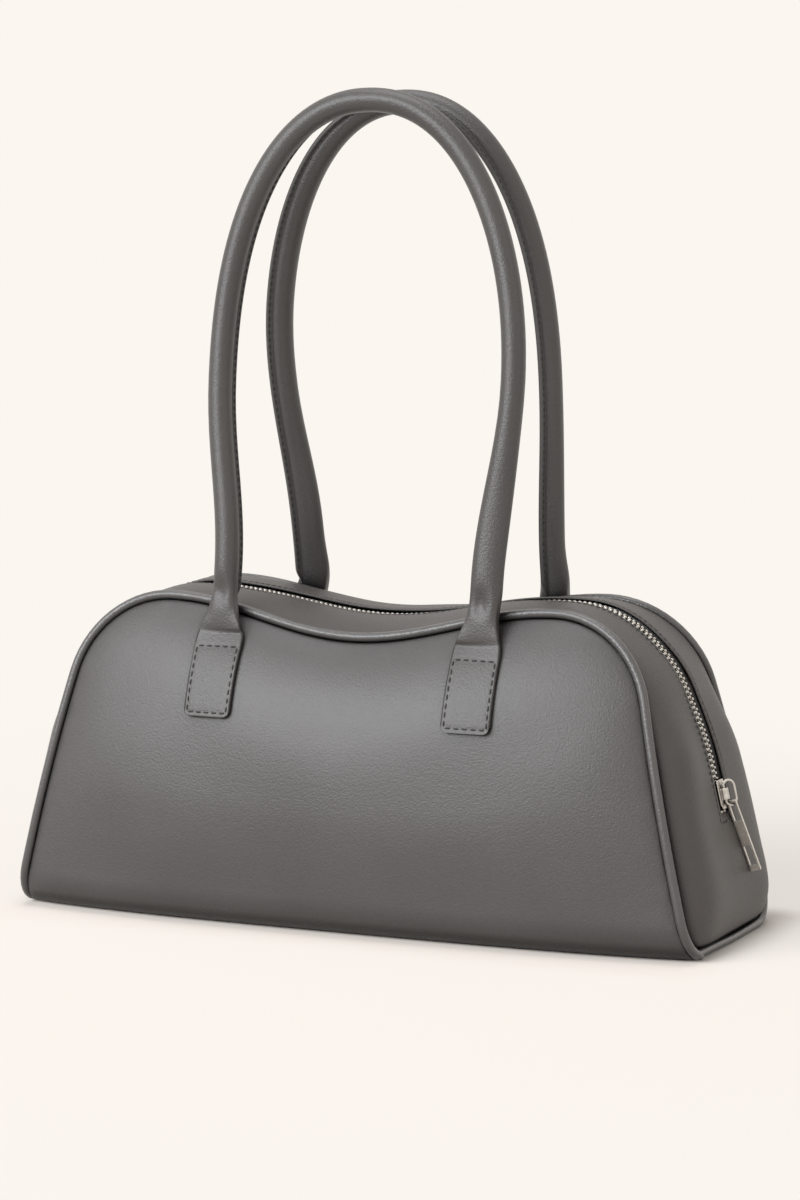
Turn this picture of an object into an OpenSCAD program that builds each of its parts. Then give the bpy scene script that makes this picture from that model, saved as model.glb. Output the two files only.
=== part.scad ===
// Long zip-top shoulder bag in soft leather: padded front and back panels, one
// piped gusset strip with the zip let into it, a stiff base and two rolled handles.
// The origin is the middle of the base on the floor, +X along the bag, +Y to its back.

/* [Body] */
// Length between the end piping lines at the base
body_l = 340; // [310:5:370]
// Depth between the piping lines at the base
body_d = 112; // [102:1:124]
// Depth between the piping lines at the top
top_d = 68; // [60:1:80]
// Height of the shoulders above the lowest piping line
body_h = 149; // [141:1:158]
// Lean of each end from the vertical, in degrees
end_lean = 13; // [10:1:16]
// Radius of the shoulders
shoulder_r = 48; // [40:1:56]
// Sag of the top line between the shoulders
top_sag = 15; // [8:1:19]
// How far the front and back stand proud of their piping
panel_full = 15; // [8:1:18]
// How far the ends stand proud of their piping
end_full = 10.5; // [7:0.5:13]
// How far the top stands proud of the piping at its middle
top_full = 8; // [4:0.5:10]
// How far the shoulders stand proud of the piping
shoulder_full = 2; // [1:0.5:4]
// Radius at which the panels roll under to the base
roll_r = 18; // [14:1:22]

/* [Leather and layers] */
// Thickness of the panel and gusset leather
leather_t = 1.3; // [1:0.1:1.6]
// Thickness of the foam behind the front and back
foam_t = 2.2; // [1.5:0.1:2.6]
// Thickness of the lining cloth
lining_t = 0.5; // [0.4:0.1:0.7]
// Thickness of the stiff board on the base
board_t = 2; // [1.5:0.1:2.4]
// Gap between one layer and the next
layer_gap = 0.15; // [0.1:0.05:0.25]
// Radius of the piping
piping_r = 2.2; // [1.8:0.1:2.6]

/* [Zip] */
// Width of the slot for the zip
slot_w = 12; // [11:0.5:14]
// Height of the lower ends of the slot
slot_end_z = 56; // [52:1:57]
// Width of one half of the zip tape
tape_w = 13; // [11:0.5:15]
// Thickness of the zip tape
tape_t = 0.6; // [0.5:0.1:0.7]
// Distance from one tooth to the next on the same tape
tooth_pitch = 2.5; // [2.4:0.1:3]
// Thickness of a tooth along the zip
tooth_t = 1.1; // [0.9:0.05:1.15]
// Height of a tooth
tooth_h = 2.4; // [2:0.1:2.6]
// Reach of a tooth from the middle of the zip back over its tape
tooth_back = 2.8; // [2.4:0.1:3]
// Reach of a tooth past the middle of the zip
tooth_nose = 0.75; // [0.5:0.05:0.9]

/* [Slider and pull] */
// Height of the middle of the slider at rest
slider_z = 68; // [67:1:72]
// Length of the slider
slider_l = 13.5; // [12:0.5:14]
// Width of the slider
slider_w = 9; // [8:0.25:9.5]
// Thickness of the slider's plates
plate_t = 1; // [0.8:0.1:1.2]
// Width of the bow across the slider's top
bow_w = 4.4; // [4:0.1:5]
// Height of the bow
bow_h = 2.9; // [2.7:0.1:3.4]
// Length of the bow along the slider
bow_l = 5.2; // [4.2:0.1:5.2]
// Length of the ring between the slider and the pull
ring_l = 12.6; // [12.4:0.1:13.4]
// Width of the ring
ring_w = 7.4; // [7.2:0.1:8]
// Radius of the ring's wire
ring_wire_r = 0.55; // [0.45:0.05:0.6]
// Lean of the resting ring towards the back, in degrees from straight out
ring_lean = 56; // [52:1:58]
// Length of the pull
pull_l = 36.5; // [30:0.5:40]
// Width of the pull at its top
pull_top_w = 4.4; // [4.2:0.1:4.5]
// Width of the pull at its foot
pull_w = 5; // [4.4:0.1:5.4]
// Thickness of the pull
pull_t = 1.4; // [1.2:0.1:1.4]
// Turn of the resting pull towards the back, in degrees
pull_turn = 21; // [10:1:23]
// Tilt of the resting pull on its long edge, in degrees from flat
pull_tilt = 90; // [86:1:94]

/* [Handles] */
// Height of the top of each handle's centre line
handle_h = 382; // [340:2:410]
// Distance of each leg from the bag's middle at the tabs
tab_x = 65; // [58:1:72]
// Half the width of the front handle's arch where it is widest
front_half_w = 74; // [66:0.2:78]
// Half the width of the rear handle's arch where it is widest
rear_half_w = 68.8; // [64:0.2:76]
// How far the front handle's top leans to the left
front_shift = 3.2; // [0:0.2:5]
// How far the rear handle's top leans to the right
rear_shift = 1.4; // [0:0.2:5]
// Height at which the arch is widest
arch_z = 255; // [235:1:270]
// Distance of each handle's top from the bag's middle plane
arch_top_y = 15; // [13:1:26]
// Radius of the rolled handle
handle_r = 5.6; // [5.4:0.1:6.2]
// Radius of the cord inside the handle
cord_r = 4.2; // [3.8:0.1:4.4]
// Height of the stitched edge that stands off the handle
flange_h = 2.4; // [1.8:0.1:3]
// Thickness of the stitched edge
flange_t = 2.2; // [1.8:0.1:2.6]
// Width of the tabs
tab_w = 23.8; // [20:0.2:26]
// Thickness of the tabs
tab_t = 2; // [1.6:0.1:2.4]
// Height of the lower end of the tabs
tab_low_z = 98; // [92:1:104]
// Height at which the handles flex, just above the tabs
flex_z = 137; // [134:1:138]
// Radius of the lower corners of the tabs
tab_corner_r = 3.5; // [2:0.5:5]

/* [Hidden] */

LEATHER = [0.30, 0.29, 0.29];
LINING = [0.16, 0.16, 0.17];
FOAM = [0.85, 0.84, 0.80];
BOARD = [0.35, 0.33, 0.30];
NICKEL = [0.78, 0.77, 0.75];
TAPE = [0.05, 0.05, 0.05];
CORD = [0.72, 0.70, 0.65];

$fn = 40;
seam = piping_r + 0.1; // from the piping's centre line to the edge of a leather piece
touch = 0.1; // between two pieces that are sewn or pressed together
shoulder_z = piping_r + body_h; // the piping's highest line
depth_power = 2.4; // how late the bag narrows towards its top
roll_steps = 3;
roll_share = 0.65; // share of the panels' fullness that is left at the floor
full_rise = 0.45; // share of the panel's height over which it fills out

// Blends a into b, with t from 0 to 1, slowly at both ends
function ease(t) = (1 - cos(180 * min(1, max(0, t)))) / 2;
function mix(a, b, t) = a + (b - a) * t;
function unit(v) = v / norm(v);
function clamp(x, low, high) = min(high, max(low, x));

// Outline of the front, seen square on, inset by i. q is the distance from the top's
// middle along the line: the sagging top, then the shoulder, then the leaning end.
function corner_x(i) = body_l / 2 - i / cos(end_lean) - (body_h - i) * tan(end_lean);
function arc_r(i) = shoulder_r - i;
function arc_x(i) = corner_x(i) - arc_r(i) * tan((90 - end_lean) / 2);
function arc_z(i) = shoulder_z - i - arc_r(i);
function arc_len(i) = arc_r(i) * (90 - end_lean) * PI / 180;
function end_q(z, i) =
    arc_x(i) + arc_len(i) + (arc_z(i) + arc_r(i) * sin(end_lean) - z) / cos(end_lean);
function edge_angle(q, i) =
    clamp(90 - (q - arc_x(i)) / arc_r(i) * 180 / PI, end_lean, 90);
function edge_point(q, i) =
    q < 0 ? let (p = edge_point(-q, i)) [-p.x, p.y]
    : q <= arc_x(i)
        ? [q, shoulder_z - i - top_sag * (1 + cos(180 * q / arc_x(i))) / 2]
        : let (
            a = edge_angle(q, i),
            d = max(0, q - arc_x(i) - arc_len(i))
        )
        [arc_x(i) + arc_r(i) * cos(a) + d * sin(end_lean),
         arc_z(i) + arc_r(i) * sin(a) - d * cos(end_lean)];
function edge_normal(q) =
    q < 0 ? let (n = edge_normal(-q)) [-n.x, n.y]
    : q <= arc_x(0)
        ? unit([-top_sag / 2 * PI / arc_x(0) * sin(180 * q / arc_x(0)), 1])
        : [cos(edge_angle(q, 0)), sin(edge_angle(q, 0))];

// Half the depth between the two piping lines at height z
function half_d(z) = mix(body_d, top_d, pow(max(0, z) / shoulder_z, depth_power)) / 2;

// Depth to the edge of the gusset at height z, inset by i, with rounded lower corners
function gusset_y(z, i) =
    let (up = piping_r + roll_r - z)
    half_d(z) - (up > 0
        ? roll_r - (roll_r - i) * sqrt(max(0, 1 - pow(up / (roll_r - i), 2)))
        : i);

// How far the gusset's middle stands proud of the outline
shoulder_q = arc_x(0) + arc_len(0) / 2;
full_q = arc_x(0) + arc_len(0) + 35; // the ends are at their fullest below this
taper_h = 26; // height over which the ends draw in to the base
function gusset_full(q) =
    let (
        a = abs(q),
        up = (edge_point(a, 0).y - piping_r - seam) / taper_h,
        taper = up < 1 ? sqrt(max(0, 1 - pow(1 - up, 2))) : 1
    )
    taper * (a < shoulder_q
        ? mix(top_full, shoulder_full, ease(a / shoulder_q))
        : mix(shoulder_full, end_full, ease((a - shoulder_q) / (full_q - shoulder_q))));
function gusset_point(q, y, depth) =
    let (
        e = edge_point(q, 0),
        n = edge_normal(q),
        out = gusset_full(q) * (1 - pow(y / gusset_y(e.y, seam), 2)) - depth
    )
    [e.x + n.x * out, y, e.y + n.y * out];

// A point of the front panel for u from -1 to 1 along it and w from 0 to 1 up it
panel_top_q = arc_x(seam) + arc_len(seam) / 2;
panel_low_q = end_q(0, seam);
panel_low_x = edge_point(panel_low_q, seam).x;
function panel_fullness(u, w) =
    panel_full * pow(max(0, 1 - pow(abs(u), 3)), 0.8)
    * mix(roll_share, 1, ease(w / full_rise)) * pow(max(0, 1 - pow(w, 6)), 0.8);
function panel_xz(u, w) =
    let (
        a = abs(u),
        top = edge_point(a * panel_top_q, seam),
        side = edge_point(mix(panel_low_q, panel_top_q, w), seam),
        middle = edge_point(0, seam),
        corner = edge_point(panel_top_q, seam),
        low = [panel_low_x, 0],
        p = (1 - w) * a * low + w * top + (1 - a) * w * middle + a * side
            - (a * (1 - w) * low + (1 - a) * w * middle + a * w * corner)
    )
    [p.x * sign(u), p.y];
function panel_point(u, w) =
    let (
        p = panel_xz(u, w),
        z = max(0, p.y),
        roll = z < roll_r ? roll_r - sqrt(roll_r * roll_r - pow(roll_r - z, 2)) : 0
    )
    [p.x, -(half_d(z) + panel_fullness(u, w) - roll), z];
// The point of the front panel behind a given x and z, found by closing in on it
function panel_at(x, z, u = 0.5, w = 0.5, tries = 12) =
    let (p = panel_xz(u, w))
    tries == 0 ? panel_point(u, w)
    : panel_at(x, z, clamp(u * x / p.x, -1, 1), clamp(w * z / p.y, 0, 1), tries - 1);

// Unit normals of a grid of points, from its neighbouring points
function grid_normal(g, i, j) =
    let (
        n = len(g) - 1,
        m = len(g[0]) - 1,
        du = g[min(n, i + 1)][j] - g[max(0, i - 1)][j],
        dv = g[i][min(m, j + 1)] - g[i][max(0, j - 1)]
    )
    unit(cross(dv, du));

// A closed sheet on a grid, from depth a to depth b below it. keep(i, j) says which
// cells it has, so that a slot can be left out.
module sheet(g, a, b, keep = function (i, j) true) {
    n = len(g);
    m = len(g[0]);
    layer = function (d) [for (i = [0:n - 1], j = [0:m - 1]) g[i][j] - d * grid_normal(g, i, j)];
    has = function (i, j) i >= 0 && j >= 0 && i < n - 1 && j < m - 1 && keep(i, j);
    up = function (i, j) i * m + j;
    down = function (i, j) n * m + i * m + j;
    wall = function (p, q, r, s) [[up(p, q), down(p, q), down(r, s)], [up(p, q), down(r, s), up(r, s)]];
    faces = [for (i = [0:n - 2], j = [0:m - 2]) if (has(i, j)) each concat(
        [[up(i, j), up(i + 1, j + 1), up(i, j + 1)], [up(i, j), up(i + 1, j), up(i + 1, j + 1)],
         [down(i, j), down(i, j + 1), down(i + 1, j + 1)],
         [down(i, j), down(i + 1, j + 1), down(i + 1, j)]],
        has(i, j - 1) ? [] : wall(i, j, i + 1, j),
        has(i, j + 1) ? [] : wall(i + 1, j + 1, i, j + 1),
        has(i - 1, j) ? [] : wall(i, j + 1, i, j),
        has(i + 1, j) ? [] : wall(i + 1, j, i + 1, j + 1)
    )];
    polyhedron(concat(layer(a), layer(b)), faces, convexity = 6);
}

// A solid through rings of points, closed into a loop or capped at both ends
module skin(rings, loop = false) {
    n = len(rings);
    m = len(rings[0]);
    faces = [for (i = [0:n - (loop ? 1 : 2)], j = [0:m - 1])
        let (a = i * m + j, b = i * m + (j + 1) % m, c = ((i + 1) % n) * m + j, d = ((i + 1) % n) * m + (j + 1) % m)
        each [[a, d, b], [a, c, d]]];
    caps = loop ? [] : [[for (j = [0:m - 1]) j], [for (j = [m - 1:-1:0]) (n - 1) * m + j]];
    polyhedron([for (r = rings) each r], concat(faces, caps), convexity = 10);
}

// Panels, with more rows where they roll under
panel_columns = 16;
panel_rows = 8;
panel_rise = (panel_low_q - panel_top_q) * cos(end_lean);
panel_w = concat(
    [for (k = [0:roll_steps - 1]) roll_r * (1 - cos(90 * k / roll_steps)) / panel_rise],
    [for (k = [0:panel_rows]) mix(roll_r / panel_rise, 1, k / panel_rows)]
);
panel_grid = [for (w = panel_w) [for (c = [0:panel_columns]) panel_point(2 * c / panel_columns - 1, w)]];
foam_depth = leather_t + layer_gap;
lining_depth = foam_depth + foam_t + layer_gap;

module front_panel() {
    color(LEATHER) sheet(panel_grid, 0, leather_t);
}
module back_panel() {
    mirror([0, 1, 0]) front_panel();
}
module foam_front() {
    color(FOAM) sheet(panel_grid, foam_depth, foam_depth + foam_t);
}
module foam_back() {
    mirror([0, 1, 0]) foam_front();
}
module lining_front() {
    color(LINING) sheet(panel_grid, lining_depth, lining_depth + lining_t);
}
module lining_back() {
    mirror([0, 1, 0]) lining_front();
}

// Flat pieces of the base, with the outline at which the panels reach the floor
module base_shape(low, thick, inset) {
    front = [for (c = [0:panel_columns]) let (p = panel_point(2 * c / panel_columns - 1, 0))
        [p.x * (1 - inset / panel_low_x), p.y + inset]];
    back = [for (c = [panel_columns:-1:0]) [front[c].x, -front[c].y]];
    translate([0, 0, low]) linear_extrude(thick) polygon(concat(front, back));
}
board_low = leather_t + layer_gap;
module base_panel() {
    color(LEATHER) base_shape(0, leather_t, 0.5);
}
module base_board() {
    color(BOARD) base_shape(board_low, board_t, 2);
}
module lining_base() {
    color(LINING) base_shape(board_low + board_t + layer_gap, lining_t, 4);
}

// Gusset: one strip from the right base edge over the top to the left one
function gusset_half_rows(i) =
    let (
        low = piping_r + i,
        roll_top = piping_r + roll_r,
        join = arc_z(0) + arc_r(0) * sin(end_lean)
    )
    concat(
        [for (k = [0:roll_steps - 1]) end_q(mix(low, roll_top, 1 - cos(90 * k / roll_steps)), 0)],
        [for (k = [0:2]) end_q(mix(roll_top, slot_end_z, k / 3), 0)],
        [for (k = [0:4]) end_q(mix(slot_end_z, join, k / 5), 0)],
        [for (k = [0:5]) arc_x(0) + arc_len(0) * (1 - k / 6)],
        [for (k = [0:6]) arc_x(0) * (1 - k / 7)]
    );
slot_first = roll_steps + 3;
function gusset_rows(i) =
    let (half = gusset_half_rows(i))
    concat(half, [0], [for (k = [len(half) - 1:-1:0]) -half[k]]);
function gusset_grid(i, slot) = [for (q = gusset_rows(i))
    let (edge = gusset_y(edge_point(q, 0).y, i))
    [for (y = [-edge, -mix(slot, edge, 0.66), -mix(slot, edge, 0.33), -slot,
               slot, mix(slot, edge, 0.33), mix(slot, edge, 0.66), edge])
        gusset_point(q, y, 0)]];
module gusset_layer(i, slot, a, b) {
    g = gusset_grid(i, slot);
    rows = len(g) - 1;
    sheet(g, a, b, function (r, c) c != 3 || r < slot_first || r >= rows - slot_first);
}
module gusset() {
    color(LEATHER) gusset_layer(seam, slot_w / 2, 0, leather_t);
}
gusset_lining_depth = leather_t + 1.7;
module lining_gusset() {
    color(LINING) gusset_layer(6, slot_w / 2 + 1,
        gusset_lining_depth, gusset_lining_depth + lining_t);
}

// Piping: one closed loop along both panels and under both ends
function piping_corner(k) =
    let (
        a = 90 * k / 4,
        z = piping_r + roll_r * (1 - cos(a)),
        q = end_q(z, 0)
    )
    [q, half_d(z) - roll_r + roll_r * sin(a)];
function piping_front_rows() =
    let (side = [for (k = [0:6]) end_q(mix(piping_r + roll_r, arc_z(0) + arc_r(0) * sin(end_lean), k / 7), 0)])
    concat(side,
        [for (k = [0:6]) arc_x(0) + arc_len(0) * (1 - k / 7)],
        [for (k = [0:7]) arc_x(0) * (1 - k / 8)]);
piping_quarter = concat(
    [for (k = [0:3]) piping_corner(k)],
    [for (q = piping_front_rows()) [q, half_d(edge_point(q, 0).y)]]
);
last = len(piping_quarter) - 1;
piping_route = concat(
    [for (k = [0:last]) [piping_quarter[k][0], -piping_quarter[k][1]]],
    [[0, -half_d(edge_point(0, 0).y)]],
    [for (k = [last:-1:0]) [-piping_quarter[k][0], -piping_quarter[k][1]]],
    [[-piping_quarter[0][0], 0]],
    [for (k = [0:last]) [-piping_quarter[k][0], piping_quarter[k][1]]],
    [[0, half_d(edge_point(0, 0).y)]],
    [for (k = [last:-1:0]) piping_quarter[k]],
    [[piping_quarter[0][0], 0]]
);
piping_sides = 8;
module piping() {
    n = len(piping_route);
    at = function (k) let (r = piping_route[k % n], e = edge_point(r[0], 0)) [e.x, r[1], e.y];
    color(LEATHER) skin([for (k = [0:n - 1])
        let (
            along = unit(at(k + 1) - at(k + n - 1)),
            nq = edge_normal(piping_route[k][0]),
            out = [nq.x, 0, nq.y],
            u = unit(out - (out * along) * along),
            v = cross(along, u)
        )
        [for (s = [0:piping_sides - 1])
            at(k) + piping_r * (cos(360 * s / piping_sides) * u + sin(360 * s / piping_sides) * v)]
    ], loop = true);
}

// Zip chain: its middle line lies on the gusset's crest, under the leather
tape_gap = 0.5;
chain_depth = leather_t + tape_gap + tape_t / 2;
chain_step = 2;
function zip_q(z) = end_q(z - (end_full - chain_depth) * sin(end_lean), 0);
slider_q = zip_q(slider_z);
slot_q = zip_q(slot_end_z + end_full * sin(end_lean));
chain_n = ceil(2 * slot_q / chain_step);
chain = [for (k = [0:chain_n]) gusset_point(mix(-slot_q, slot_q, k / chain_n), 0, chain_depth)];
chain_s = [for (k = 0, s = 0; k <= chain_n; k = k + 1, s = s + (k <= chain_n ? norm(chain[k] - chain[k - 1]) : 0)) s];
chain_l = chain_s[chain_n];
chain_xs = [for (k = [0:chain_n]) [chain_s[k], chain[k].x]];
chain_zs = [for (k = [0:chain_n]) [chain_s[k], chain[k].z]];
chain_qs = [for (k = [0:chain_n]) [mix(-slot_q, slot_q, k / chain_n), chain_s[k]]];
function chain_at(s) = [lookup(s, chain_xs), 0, lookup(s, chain_zs)];
// Places what follows on the chain, with X along it to the right end and Z outwards
module on_chain(s) {
    t = chain_at(s + 0.6) - chain_at(s - 0.6);
    translate(chain_at(s)) rotate([0, atan2(-t.z, t.x), 0]) children();
}
slider_s = lookup(slider_q, chain_qs);
left_stop = 5; // from the left end of the slot to the bottom stop
stop_l = 2.2;
tape_end = 2; // from each end of the slot to the end of the tapes
first_tooth = left_stop + stop_l + tooth_t / 2 + 0.3;
mouth_in = 0.6; // how far the last teeth reach into the slider
last_tooth = slider_s - slider_l / 2 + mouth_in;
tape_flat = slider_w / 2 + 0.7; // from the middle of the zip to where the tapes begin to slope
tape_inner = 1; // from the middle of the zip to the edge of each tape

module zip_tape() {
    rows = [for (k = [0:2:2 * floor(chain_n / 2)]) mix(-slot_q, slot_q, k / (2 * floor(chain_n / 2)))];
    keep = [for (k = [0:3:len(rows) - 1]) rows[k]];
    low = slot_q + tape_end;
    qs = concat([-low], [for (q = keep) if (abs(q) < slot_q) q], [low]);
    color(TAPE) sheet([for (q = qs) let (crest = gusset_point(-q, 0, 0)) [
        gusset_point(-q, -tape_inner - tape_w, 0), crest - [0, tape_flat, 0], crest - [0, tape_inner, 0]]],
        chain_depth - tape_t / 2, chain_depth + tape_t / 2);
}
module zip_tape_front() {
    zip_tape();
}
module zip_tape_rear() {
    mirror([0, 1, 0]) zip_tape();
}

// One tooth: jaws pressed on the tape's edge, a body and a nose that meets its neighbours
module tooth() {
    h = tooth_h / 2;
    jaw = tape_t / 2;
    rotate([90, 0, 90]) linear_extrude(tooth_t, center = true) polygon([
        [-tooth_back, -h], [-tooth_back, -jaw], [-tape_inner - 0.3, -jaw],
        [-tape_inner - 0.3, jaw], [-tooth_back, jaw], [-tooth_back, h],
        [-0.4, h], [tooth_nose, 0.55 * h], [tooth_nose, -0.55 * h], [-0.4, -h]]);
}
module teeth(start) {
    count = floor((last_tooth - start) / tooth_pitch);
    for (k = [0:count]) on_chain(start + k * tooth_pitch) tooth();
}
module zip_teeth_front() {
    color(NICKEL) teeth(first_tooth);
}
module zip_teeth_rear() {
    color(NICKEL) mirror([0, 1, 0]) teeth(first_tooth + tooth_pitch / 2);
}
module zip_top_stops() {
    color(NICKEL) for (side = [0, 1]) mirror([0, side, 0])
        on_chain(slider_s + slider_l / 2 + 0.3 + stop_l / 2)
            translate([-stop_l / 2, -tooth_back, -tooth_h / 2]) cube([stop_l, tooth_back - 0.4, tooth_h]);
}
module zip_bottom_stop() {
    color(NICKEL) on_chain(left_stop + stop_l / 2)
        translate([-stop_l / 2, -tooth_back, -tooth_h / 2]) cube([stop_l, 2 * tooth_back, tooth_h]);
}

// Slider: two plates joined by a post at the nose, rims round the teeth and a bow on top
cavity_h = tooth_h + 0.6;
cavity_w = 2 * tooth_back + 0.7;
tape_slot = tape_t + 0.7;
nose_cut = 2.2;
post_r = 0.7;
post_x = slider_l / 2 - 1.5;
bow_wall = 0.8;
plate_top = cavity_h / 2 + plate_t;
module slider_plate(z) {
    l = slider_l / 2;
    w = slider_w / 2;
    translate([0, 0, z]) linear_extrude(plate_t) polygon([
        [-l, -w + 1], [-l + 1, -w], [l - nose_cut, -w], [l, -w + nose_cut],
        [l, w - nose_cut], [l - nose_cut, w], [-l + 1, w], [-l, w - 1]]);
}
module slider_rims() {
    rim_w = (slider_w - cavity_w) / 2;
    for (side = [0, 1], face = [0, 1]) mirror([0, side, 0]) mirror([0, 0, face])
        translate([-slider_l / 2 + 1, cavity_w / 2, tape_slot / 2])
            cube([slider_l - 1 - nose_cut, rim_w, plate_top - tape_slot / 2]);
}
module arch(w, h) {
    intersection() {
        union() {
            translate([0, h - w / 2]) circle(w / 2);
            translate([-w / 2, 0]) square([w, h - w / 2]);
        }
        translate([-w / 2, 0]) square([w, h]);
    }
}
module zip_slider() {
    color(NICKEL) on_chain(slider_s) {
        slider_plate(cavity_h / 2);
        slider_plate(-plate_top);
        slider_rims();
        translate([post_x, 0, 0]) cylinder(r = post_r, h = 2 * plate_top, center = true);
        translate([-bow_l / 2, 0, plate_top]) rotate([90, 0, 90]) linear_extrude(bow_l) difference() {
            arch(bow_w, bow_h);
            arch(bow_w - 2 * bow_wall, bow_h - bow_wall);
        }
    }
}

// Ring: a loop of wire that turns about its strand under the bow
ring_gap = 0.1;
ring_axis_z = plate_top + ring_gap + ring_wire_r;
ring_bend_r = ring_w / 2 - ring_wire_r;
ring_bend_x = ring_l / 2 - ring_w / 2;
module slider_ring() {
    color(NICKEL) on_chain(slider_s) translate([0, 0, ring_axis_z]) rotate([90 - ring_lean, 0, 0])
        translate([0, ring_bend_r, 0]) {
            for (side = [-1, 1]) {
                translate([side * ring_bend_x, 0, 0]) rotate([0, 0, -side * 90])
                    rotate_extrude(angle = 180) translate([ring_bend_r, 0]) circle(ring_wire_r, $fn = 24);
                translate([0, side * ring_bend_r, 0]) rotate([0, 90, 0])
                    cylinder(r = ring_wire_r, h = 2 * ring_bend_x, center = true, $fn = 24);
            }
        }
}

// Pull: a flat bar with two windows, its top bar held in the ring
pull_gap = 0.3;
pull_rim = 0.65;
pull_eye_l = 10.5;
pull_foot_l = 10.5;
pull_end_t = 2.6;
pull_x = ring_l / 2 - 2 * ring_wire_r - pull_gap - pull_t / 2; // the pull's bar along the ring
module pull_window(x, l) {
    w = mix(pull_top_w, pull_w, x / pull_l) - 2 * pull_rim;
    translate([x, -w / 2]) square([l, w]);
}
module zip_pull() {
    color(NICKEL) on_chain(slider_s) translate([0, 0, ring_axis_z]) rotate([90 - ring_lean, 0, 0])
        translate([pull_x, ring_bend_r, 0]) rotate([ring_lean - 90, 0, 0])
            rotate([0, 0, pull_turn]) rotate([pull_tilt, 0, 0]) {
                translate([0, 0, -pull_t / 2]) linear_extrude(pull_t) difference() {
                    polygon([[0, -pull_top_w / 2], [pull_l, -pull_w / 2],
                             [pull_l, pull_w / 2], [0, pull_top_w / 2]]);
                    pull_window(-1, pull_eye_l + 1);
                    pull_window(pull_l - pull_end_t - pull_foot_l, pull_foot_l);
                }
                rotate([90, 0, 0]) cylinder(r = pull_t / 2, h = pull_top_w, center = true);
            }
}

// Tabs: flat ends of the handles, stitched to the panels. Their upper edge is level.
tab_columns = [-1, -0.88, -0.7, 0, 0.7, 0.88, 1];
tab_rows = 5;
flex_gap = 0.4; // between the tabs and the handles, where the leather creases
tab_rise = panel_at(tab_x, flex_z - 1) - panel_at(tab_x, flex_z - 3);
tab_slope = atan2(tab_rise.y, tab_rise.z);
tab_top_z = flex_z - flex_gap / 2 - (touch + tab_t) * sin(tab_slope);
function tab_low(s) =
    let (past = abs(s) * tab_w / 2 - (tab_w / 2 - tab_corner_r))
    tab_low_z + (past > 0 ? tab_corner_r - sqrt(max(0, pow(tab_corner_r, 2) - past * past)) : 0);
module tab() {
    color(LEATHER) sheet([for (r = [0:tab_rows]) [for (s = tab_columns)
        panel_at(tab_x + s * tab_w / 2, mix(tab_low(s), tab_top_z, r / tab_rows))]], -touch - tab_t, -touch);
}
module tab_front_right() {
    tab();
}
module tab_front_left() {
    mirror([1, 0, 0]) tab();
}
module tab_rear_right() {
    mirror([0, 1, 0]) tab();
}
module tab_rear_left() {
    mirror([0, 1, 0]) mirror([1, 0, 0]) tab();
}

// Handles: a leg from each tab up to a shared arch, flat at the foot and rolled above
flex_y = panel_at(tab_x, tab_top_z).y - (touch + tab_t) * cos(tab_slope); // outer face of the tabs
roll_z = flex_z + 30; // the strip is fully rolled above this
leg_bow_z = flex_z + 28; // the legs begin to spread here
arch_power = 2.15;
leg_z = [for (d = [flex_gap / 2, 5, 10, 15, 20, 25, 30, 40, 55, 70, 86, 102]) flex_z + d];
arch_steps = 11;
function leg_x(z, half_w) = mix(tab_x, half_w, ease((z - leg_bow_z) / (arch_z - leg_bow_z)));
function lean_y(z) =
    let (t = clamp((z - flex_z) / (handle_h - flex_z), 0, 1))
    mix(flex_y + tab_t / 2, -arch_top_y, 1 - pow(1 - t, 1.3));
function arch_point(a, half_w) =
    let (z = arch_z + (handle_h - arch_z) * pow(max(0, sin(a)), 2 / arch_power))
    [half_w * pow(max(0, cos(a)), 2 / arch_power), lean_y(z), z];
function half_route(half_w) = concat(
    [for (z = leg_z) [leg_x(z, half_w), lean_y(z), z]],
    [for (k = [0:arch_steps - 1]) arch_point(90 * k / arch_steps, half_w)]
);
lean_from_z = 240; // the handle's top leans to one side above this
function handle_route(half_w, shift) =
    let (
        half = half_route(half_w),
        whole = concat(half, [[0, -arch_top_y, handle_h]],
            [for (k = [len(half) - 1:-1:0]) [-half[k].x, half[k].y, half[k].z]])
    )
    [for (p = whole) p - [shift * ease((p.z - lean_from_z) / (handle_h - lean_from_z)), 0, 0]];
front_route = handle_route(front_half_w, front_shift);
rear_route = handle_route(rear_half_w, rear_shift);
handle_n = len(front_route);
// The way that the stitched edge faces at x
function flange_way(x) = unit([0.42 - 0.0028 * x, 0.85, 0]);
function along(route, k) =
    unit(route[min(handle_n - 1, k + 1)] - route[max(0, k - 1)]);
function super(a, x, y, p) =
    [x * sign(cos(a)) * pow(abs(cos(a)), 2 / p), y * sign(sin(a)) * pow(abs(sin(a)), 2 / p)];
ring_n = 12;
function cover_ring(route, k) =
    let (
        c = route[k],
        ahead = k == 0 ? [0, 0, 1] : k == handle_n - 1 ? [0, 0, -1] : along(route, k),
        w = unit(cross([0, 1, 0], ahead)),
        d = cross(ahead, w),
        rolled = ease((c.z - flex_z) / (roll_z - flex_z)),
        hw = mix(tab_w / 2, handle_r, rolled),
        ht = mix(tab_t / 2, handle_r, rolled),
        sharp = mix(8, 2, rolled),
        way = atan2(flange_way(c.x) * d, flange_way(c.x) * w),
        lift = flange_h * ease((c.z - flex_z - 14) / 12),
        half_t = asin(flange_t / 2 / handle_r)
    )
    [for (j = [0:ring_n])
        let (
            a = way + (j == 0 ? -half_t : j == 1 ? half_t : half_t + (360 - 2 * half_t) * (j - 1) / ring_n),
            p = super(a, hw, ht, sharp),
            out = (j < 2 ? lift : 0) * [cos(way), sin(way)],
            s = p + out
        )
        c + s.x * w + s.y * d];
module handle_cover(route) {
    skin([for (k = [0:handle_n - 1]) cover_ring(route, k)]);
}
cord_start = 6; // first station of the legs that the cord reaches
cord_sides = 7;
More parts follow.
